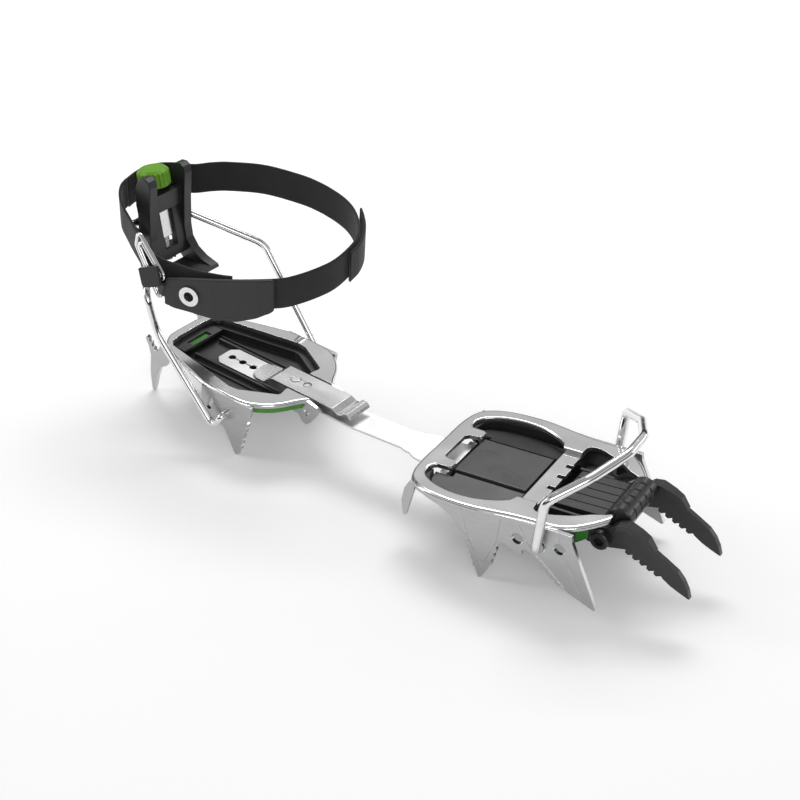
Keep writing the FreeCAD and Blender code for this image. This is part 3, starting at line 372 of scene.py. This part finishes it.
STAMPED = polished_sheet("stamped_steel", 0.36, 0.12, (90, 90, 1400))
BAR = brushed_strip("brushed_bar", 0.36, (0.72, 0.72, 0.725), (18, 1700, 18))
CLIP = brushed_strip("brushed_clip", 0.20, (0.74, 0.74, 0.745), (18, 1500, 18))
WIRE = drawn_wire("drawn_wire", 0.09)
TURNED = machined("turned_steel", (0.80, 0.80, 0.81), 0.24)
POINTS = coated("coated_points", (0.020, 0.020, 0.0212), 0.38, 0.45)
SPACERS = coated("coated_spacers", (0.020, 0.020, 0.021), 0.36, 0.25)
CENTRE_PAD = moulded("grey_pad", (0.046, 0.046, 0.048), 0.22, 900, 0.35, 0.16)
SIDE_PAD = moulded("dark_side_pad", (0.030, 0.030, 0.031), 0.42, 900, 0.08, 0.06)
BLACK = moulded("black_plastic", (0.017, 0.017, 0.018), 0.40, 1500, 0.10, 0.08)
TRAY = moulded("tray_plastic", (0.020, 0.020, 0.021), 0.33, 1200, 0.15, 0.08)
GREEN = moulded("green_plastic", (0.13, 0.34, 0.004), 0.40, 1300, 0.15, 0.05)
TOE_AHEAD = (0.99488, 0.10106, 0.0)
TOE_SIDEWAYS = (-0.10106, 0.99488, 0.0)
TOE_MIDDLE = at(175.7, 10.8, 6.1)
TOE_GREEN_START = 50 * MM
HEEL_AHEAD = (1.0, 0.0, 0.0)
HEEL_SIDEWAYS = (0.3, 0.954, 0.0)
HEEL_GREEN_START = -60 * MM
# Both bases take darker copies of the knob's green plastic (GREEN): painted shade.
TOE_BASE = green_edged("toe_base_plastic", (0.025, 0.20, 0.012), BASE_BLACK, BASE_ROUGH,
                       TOE_MIDDLE, TOE_SIDEWAYS, TOE_AHEAD, TOE_GREEN_START)
HEEL_BASE = green_edged("heel_base_plastic", (0.045, 0.24, 0.008), BASE_BLACK, BASE_ROUGH,
                        HEEL_ORIGIN, HEEL_SIDEWAYS, HEEL_AHEAD, HEEL_GREEN_START)
WEBBING = woven("webbing", (0.020, 0.020, 0.0215))
# The rear insert takes a darker copy of the knob's green plastic: painted shade.
SHADED_INSERT_GREEN = moulded("shaded_insert_plastic", (0.035, 0.22, 0.008), 0.42, 1300, 0.1, 0.04)
RUBBER = rubbery("strap_rubber", (0.018, 0.018, 0.019))

FINISHES = {
    "heel_frame": STAMPED, "toe_frame": STAMPED, "toe_bridge_plate": STAMPED,
    "centre_bar": BAR, "adjuster_clip": CLIP,
    "toe_bail": WIRE, "heel_bail": WIRE, "buckle_ring_outer": WIRE, "buckle_ring_inner": WIRE,
    "bail_nut": TURNED, "screw_clip": TURNED, "clip_peg": TURNED, "strap_eyelet": TURNED,
    "front_point_left": POINTS, "front_point_right": POINTS,
    "point_bolt": SPACERS, "point_nut": SPACERS,
    "toe_centre_pad": CENTRE_PAD, "toe_side_pad_left": SIDE_PAD, "toe_side_pad_right": SIDE_PAD,
    "heel_tray": TRAY, "toe_liner_left": TRAY, "toe_liner_right": TRAY, "toe_front_cover": TRAY,
    "lever_body": BLACK,
    "heel_base": HEEL_BASE, "toe_base": TOE_BASE, "rear_insert": SHADED_INSERT_GREEN, "adjuster_knob": GREEN,
}
for number in range(1, 6):
    FINISHES["point_spacer_%d" % number] = SPACERS


def finish_with(obj, material):
    obj.data.materials.clear()
    obj.data.materials.append(material)


for node_name, material in FINISHES.items():
    finish_with(nodes[node_name], material)


# ---- mesh helpers -----------------------------------------------------------------------------
def make_object(name, points, faces, material, uvs=None):
    mesh = bpy.data.meshes.new(name)
    mesh.from_pydata([tuple(p) for p in points], [], faces)
    if uvs is not None:
        layer = mesh.uv_layers.new(name="UVMap")
        loops = np.zeros(len(mesh.loops), np.int32)
        mesh.loops.foreach_get("vertex_index", loops)
        layer.data.foreach_set("uv", np.asarray(uvs, np.float32)[loops].ravel())
    mesh.polygons.foreach_set("use_smooth", [True] * len(mesh.polygons))
    mesh.materials.append(material)
    mesh.update()
    obj = bpy.data.objects.new(name, mesh)
    bpy.context.scene.collection.objects.link(obj)
    return obj


SPAN_SAMPLES = 24     # first samples between two points of a route


def smooth_path(points, spacing):
    """Evenly spaced samples of a smooth curve through the points, each with its place among
    the points and its distance from the start."""
    knots = np.asarray(points, float)
    padded = np.vstack([2 * knots[0] - knots[1], knots, 2 * knots[-1] - knots[-2]])
    samples = []
    shares = []
    for index in range(1, len(padded) - 2):
        a, b, c, d = padded[index - 1:index + 3]
        for step in np.linspace(0, 1, SPAN_SAMPLES, endpoint=False):
            curve = 0.5 * (2 * b + (c - a) * step + (2 * a - 5 * b + 4 * c - d) * step ** 2
                           + (3 * b - a - 3 * c + d) * step ** 3)
            samples.append(curve)
            shares.append(index - 1 + step)
    samples.append(knots[-1])
    shares.append(len(knots) - 1.0)
    samples = np.asarray(samples)
    length = np.concatenate([[0], np.cumsum(np.linalg.norm(np.diff(samples, axis=0), axis=1))])
    count = max(int(round(length[-1] / spacing)), 2)
    marks = np.linspace(0, length[-1], count + 1)
    even = np.stack([np.interp(marks, length, samples[:, k]) for k in range(3)], axis=1)
    return even, np.interp(marks, length, shares), marks


RIB_HEIGHT = 0.07 * MM
SECTION = 15          # points along each face of the webbing
EDGE_POINTS = 4
EDGE_FULLNESS = 0.9   # how far the rounded edges bulge, against half of the thickness
RIB_STEPS = 5         # rings of points for each rib of the weave


def webbing(name, route, leans, width, thick, node):
    """Woven webbing along a route of top-edge points, hanging down from them by its width."""
    tops, shares, lengths = smooth_path([at(*p) for p in route], WEAVE_PITCH / RIB_STEPS)
    down = np.asarray([(dx, dy, -1.0) for dx, dy in leans], float)
    drop = np.stack([np.interp(shares, range(len(down)), down[:, k]) for k in range(3)], axis=1)
    drop /= np.linalg.norm(drop, axis=1)[:, None]
    along = np.gradient(tops, axis=0)
    across = np.cross(along, drop)
    across /= np.linalg.norm(across, axis=1)[:, None]
    half = thick * MM / 2
    wide = width * MM
    bulge = half * EDGE_FULLNESS
    flat = wide - 2 * bulge
    profile = []
    for k in range(SECTION):
        profile.append((bulge + k / (SECTION - 1) * flat, half, 1))
    for k in range(1, EDGE_POINTS):
        turn = math.pi * k / EDGE_POINTS
        profile.append((wide - bulge + bulge * math.sin(turn), half * math.cos(turn), 0))
    for k in range(SECTION):
        profile.append((wide - bulge - k / (SECTION - 1) * flat, -half, -1))
    for k in range(1, EDGE_POINTS):
        turn = math.pi * k / EDGE_POINTS
        profile.append((bulge - bulge * math.sin(turn), -half * math.cos(turn), 0))
    profile = np.asarray(profile)
    ribs = RIB_HEIGHT * (np.abs(np.sin(math.pi * lengths / WEAVE_PITCH)) - 1)
    offset = profile[None, :, 1] + ribs[:, None] * profile[None, :, 2]
    points = tops[:, None, :] + drop[:, None, :] * profile[None, :, 0:1]
    points = points + across[:, None, :] * offset[:, :, None]
    rings, count = points.shape[:2]
    uvs = np.stack([np.repeat(lengths[:, None], count, 1),
                    np.repeat(profile[None, :, 0], rings, 0)], axis=2).reshape(-1, 2)
    faces = []
    for ring in range(rings - 1):
        base = ring * count
        for k in range(count):
            after = (k + 1) % count
            faces.append((base + k, base + after, base + count + after, base + count + k))
    faces.append(tuple(reversed(range(count))))
    faces.append(tuple(range((rings - 1) * count, rings * count)))
    obj = make_object(name, points.reshape(-1, 3), faces, WEBBING, uvs)
    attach(obj, "lever")
    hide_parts(node)


# ---- the strap --------------------------------------------------------------------------------
STRAP_WIDTH = 19.6
STRAP_THICK = 1.6
STRAP_LOOP = [(-102.6, -11, 95), (-103.8, -3, 95.8), (-103.6, 5, 96.4), (-100.5, 14, 96.6),
              (-93.5, 20.6, 96.8), (-83.5, 26.4, 97),
              (-74.7, 32.4, 99), (-65.4, 39, 100), (-45.4, 47.9, 101.5), (-21.2, 52, 102),
              (-6.4, 52.8, 101.5), (9, 51.6, 100), (21.1, 48, 98.5), (30.7, 42, 96.5),
              (38, 34.6, 94), (42, 26, 91.6), (42.8, 15, 88.6), (41.6, 6, 86.2), (38, -2.6, 84),
              (32.5, -11, 81.5), (25.6, -17.6, 79), (13.4, -23.6, 76), (1.7, -27.6, 73),
              (-12.8, -32.1, 69.5), (-28.9, -36.4, 65.8), (-36.5, -38.6, 64)]
STRAP_TAIL = [(28.2, 48.4, 98.8), (32.4, 45.4, 97), (37.4, 40.6, 94.8), (42.2, 33.6, 92.6),
              (44.9, 26, 90.4), (45.4, 18, 88.4)]
STRAP_END = [(-102.5, -12.2, 95), (-100.4, -18.5, 93.8), (-96, -24, 91), (-89.5, -28, 87.5),
             (-82, -30.4, 83.5), (-75.5, -33, 81), (-68, -35.8, 78.6), (-61, -37.6, 75.5),
             (-53.5, -38.2, 72.5), (-46.5, -37, 71), (-39, -34.8, 70.4), (-27, -32.4, 70),
             (-13, -28.7, 71), (-5, -26.4, 72)]
END_LEANS = [(0, 0), (-0.04, 0.1), (-0.12, 0.16), (-0.2, 0.14), (-0.22, 0.12), (-0.16, 0.08),
             (-0.14, 0.06), (-0.12, 0.03), (-0.06, 0), (0, 0), (0, 0), (0, 0), (0, 0), (0, 0)]

UPRIGHT = (0, 0)
END_WIDTH = STRAP_WIDTH - 1

webbing("strap_band_woven", STRAP_LOOP, [UPRIGHT] * len(STRAP_LOOP), STRAP_WIDTH, STRAP_THICK, "strap_band")
webbing("strap_tail_woven", STRAP_TAIL, [UPRIGHT] * len(STRAP_TAIL), STRAP_WIDTH, STRAP_THICK, "strap_tail")
webbing("strap_end_woven", STRAP_END, END_LEANS, END_WIDTH, STRAP_THICK, "strap_end")


WELD_GAP = 1e-6
RELAX_SHARE = 0.5


def softened(name, node, voxel, rounds, material, uv_along=None):
    """A soft copy of a CAD solid: remeshed evenly, with its edges relaxed to a moulded round."""
    mesh = nodes[node].data.copy()
    obj = bpy.data.objects.new(name, mesh)
    bpy.context.scene.collection.objects.link(obj)
    weld = obj.modifiers.new("weld", "WELD")
    weld.merge_threshold = WELD_GAP
    remesh = obj.modifiers.new("remesh", "REMESH")
    remesh.mode = "VOXEL"
    remesh.voxel_size = voxel
    relax = obj.modifiers.new("relax", "SMOOTH")
    relax.factor = RELAX_SHARE
    relax.iterations = rounds
    bpy.context.view_layer.update()
    evaluated = obj.evaluated_get(bpy.context.evaluated_depsgraph_get())
    final = bpy.data.meshes.new_from_object(evaluated)
    obj.modifiers.clear()
    obj.data = final
    final.name = name
    final.materials.clear()
    final.materials.append(material)
    final.polygons.foreach_set("use_smooth", [True] * len(final.polygons))
    if uv_along is not None:
        start, way, drop = uv_along
        layer = final.uv_layers.new(name="UVMap")
        for loop in final.loops:
            place = final.vertices[loop.vertex_index].co - start
            layer.data[loop.index].uv = (place.dot(way), place.dot(drop))
    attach(obj, "lever")
    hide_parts(node)


softened("strap_patch_moulded", "strap_patch", 0.45 * MM, 5, RUBBER)
FLAP_CORNER = at(-59, -47, 65)
FLAP_ALONG = Vector((0.9, 0, 0.42)).normalized()
FLAP_DOWN = Vector((0.42, 0, -0.9)).normalized()
softened("strap_flap_woven", "strap_flap", 0.4 * MM, 3, WEBBING,
         (FLAP_CORNER, FLAP_ALONG, FLAP_DOWN))


# ---- the adjuster screw's thread --------------------------------------------------------------
SCREW_TILT = math.radians(11.5)
SCREW_FOOT = at(-85.6, 0, 65.7)
SCREW_AXIS = Vector((-math.sin(SCREW_TILT), 0, math.cos(SCREW_TILT)))
SCREW_SIDE = Vector((math.cos(SCREW_TILT), 0, math.sin(SCREW_TILT)))
THREAD_CREST = 2.6 * MM
THREAD_DEPTH = 0.45 * MM
THREAD_PITCH = 1.0 * MM
SCREW_LOW = -22.7 * MM
SCREW_HIGH = 25.9 * MM
GROOVE = (-21.9 * MM, -21.0 * MM)
GROOVE_RADIUS = 2.0 * MM
NECK_START = 18 * MM
NECK_FADE = 2 * MM
END_CHAMFER = 0.4 * MM
THREAD_SIDES = 28
STEPS_PER_TURN = 8


def threaded_screw():
    """The screw with a cut thread, a plain neck at its head and the clip's groove at its foot."""
    sides = THREAD_SIDES
    steps = int((SCREW_HIGH - SCREW_LOW) / (THREAD_PITCH / STEPS_PER_TURN))
    points = []
    other = SCREW_AXIS.cross(SCREW_SIDE)
    for step in range(steps + 1):
        height = SCREW_LOW + (SCREW_HIGH - SCREW_LOW) * step / steps
        for k in range(sides):
            turn = 2 * math.pi * k / sides
            phase = (height / THREAD_PITCH - k / sides) % 1.0
            depth = THREAD_DEPTH * (1 - abs(2 * phase - 1))
            fade = min(1.0, max(0.0, (NECK_START - height) / NECK_FADE))
            radius = THREAD_CREST - depth * fade
            if GROOVE[0] < height < GROOVE[1]:
                radius = GROOVE_RADIUS
            if step in (0, steps):
                radius -= END_CHAMFER
            points.append(SCREW_FOOT + SCREW_AXIS * height
                          + (SCREW_SIDE * math.cos(turn) + other * math.sin(turn)) * radius)
    faces = []
    for step in range(steps):
        base = step * sides
        for k in range(sides):
            after = (k + 1) % sides
            faces.append((base + k, base + after, base + sides + after, base + sides + k))
    faces.append(tuple(reversed(range(sides))))
    faces.append(tuple(range(steps * sides, (steps + 1) * sides)))
    obj = make_object("adjuster_screw_threaded", points, faces, TURNED)
    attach(obj, "screw")
    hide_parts("adjuster_screw")


threaded_screw()


# ---- stage, light and camera ------------------------------------------------------------------
FLOOR_REACH = 9.0
FLOOR_HEIGHT = -0.4 * MM
FLOOR_GLOW = 0.14


def floor():
    """A flat, pale floor under the spikes, glowing faintly so that it comes near white."""
    corners = [(-1, -1), (1, -1), (1, 1), (-1, 1)]
    rows = [Vector((x * FLOOR_REACH, y * FLOOR_REACH, FLOOR_HEIGHT)) for x, y in corners]
    t = Tree("pale_floor")
    cloud = t.noise(t.mapped((1, 1, 1)), 3.0, 2.0)
    t.feed("Base Color", t.blend(cloud, (0.94, 0.94, 0.94), (0.97, 0.97, 0.97)))
    t.feed("Roughness", t.math("MULTIPLY_ADD", cloud, 0.1, 0.8))
    t.set(Specular_IOR_Level=0.1, Emission_Strength=FLOOR_GLOW)
    t.shader.inputs["Emission Color"].default_value = (1, 1, 1, 1)
    obj = make_object("floor", rows, [(0, 1, 2, 3)], t.material)


floor()


LIGHT_TARGET = (0, 0, 0.05)


def area_light(name, place, size, power):
    data = bpy.data.lights.new(name, "AREA")
    data.shape = "RECTANGLE"
    data.size, data.size_y = size
    data.energy = power
    obj = bpy.data.objects.new(name, data)
    obj.location = place
    obj.rotation_mode = "QUATERNION"
    obj.rotation_quaternion = (Vector(LIGHT_TARGET) - Vector(place)).to_track_quat("-Z", "Y")
    bpy.context.scene.collection.objects.link(obj)


area_light("key", (-0.55, 0.75, 1.35), (1.1, 0.55), 13)
area_light("front_fill", (1.2, -1.3, 1.0), (0.8, 0.8), 5)
area_light("left_strip", (-1.3, -0.8, 0.6), (0.35, 1.2), 4.5)
area_light("back_strip", (0.9, 1.4, 0.5), (1.2, 0.25), 4)

# The world lights the metal in bands from below (0) to above (1). The camera itself sees plain white.
STUDIO_BANDS = [(0.0, 0.50), (0.06, 0.08), (0.28, 0.05), (0.40, 0.75), (0.70, 0.90),
                (0.80, 0.20), (1.0, 0.75)]
STUDIO_STRENGTH = 0.72
BACKDROP = (1.25, 1.25, 1.25, 1)

world = bpy.data.worlds.new("studio")
world.use_nodes = True
studio = world.node_tree
background = studio.nodes["Background"]
background.inputs["Strength"].default_value = STUDIO_STRENGTH
direction = studio.nodes.new("ShaderNodeTexCoord")
parts = studio.nodes.new("ShaderNodeSeparateXYZ")
ramp = studio.nodes.new("ShaderNodeValToRGB")
studio.links.new(direction.outputs["Generated"], parts.inputs[0])
studio.links.new(parts.outputs[2], ramp.inputs["Fac"])
seen = studio.nodes.new("ShaderNodeLightPath")
shown = studio.nodes.new("ShaderNodeMix")
shown.data_type = "RGBA"
colour_inputs = [socket for socket in shown.inputs if socket.type == "RGBA"]
colour_inputs[1].default_value = BACKDROP
studio.links.new(seen.outputs["Is Camera Ray"], shown.inputs["Factor"])
studio.links.new(ramp.outputs["Color"], colour_inputs[0])
shown_colour = next(socket for socket in shown.outputs if socket.type == "RGBA")
studio.links.new(shown_colour, background.inputs["Color"])
while len(ramp.color_ramp.elements) < len(STUDIO_BANDS):
    ramp.color_ramp.elements.new(0.5)
for element, (height, level) in zip(ramp.color_ramp.elements, STUDIO_BANDS):
    element.position = height
    element.color = (level, level, level, 1)
bpy.context.scene.world = world
bpy.context.scene.view_settings.view_transform = "Standard"

CAMERA_PLACE = at(532.2, -612.5, 534.2)
CAMERA_RIGHT = (0.7944, 0.6052, 0.0512)
CAMERA_FORWARD = (-0.4766, 0.6734, -0.5652)
CAMERA_LENS = 72.05    # millimetres, as is the sensor
CAMERA_SENSOR = 36

camera_data = bpy.data.cameras.new("camera")
camera_data.lens = CAMERA_LENS
camera_data.sensor_width = CAMERA_SENSOR
camera_data.clip_start = 0.01
camera_data.clip_end = 50
camera = bpy.data.objects.new("camera", camera_data)
camera.location = CAMERA_PLACE
right = Vector(CAMERA_RIGHT).normalized()
forward = Vector(CAMERA_FORWARD).normalized()
up = right.cross(forward).normalized()
camera.rotation_mode = "QUATERNION"
turned = Matrix((right, up, -forward)).transposed()
camera.rotation_quaternion = turned.to_quaternion()
bpy.context.scene.collection.objects.link(camera)
bpy.context.scene.camera = camera
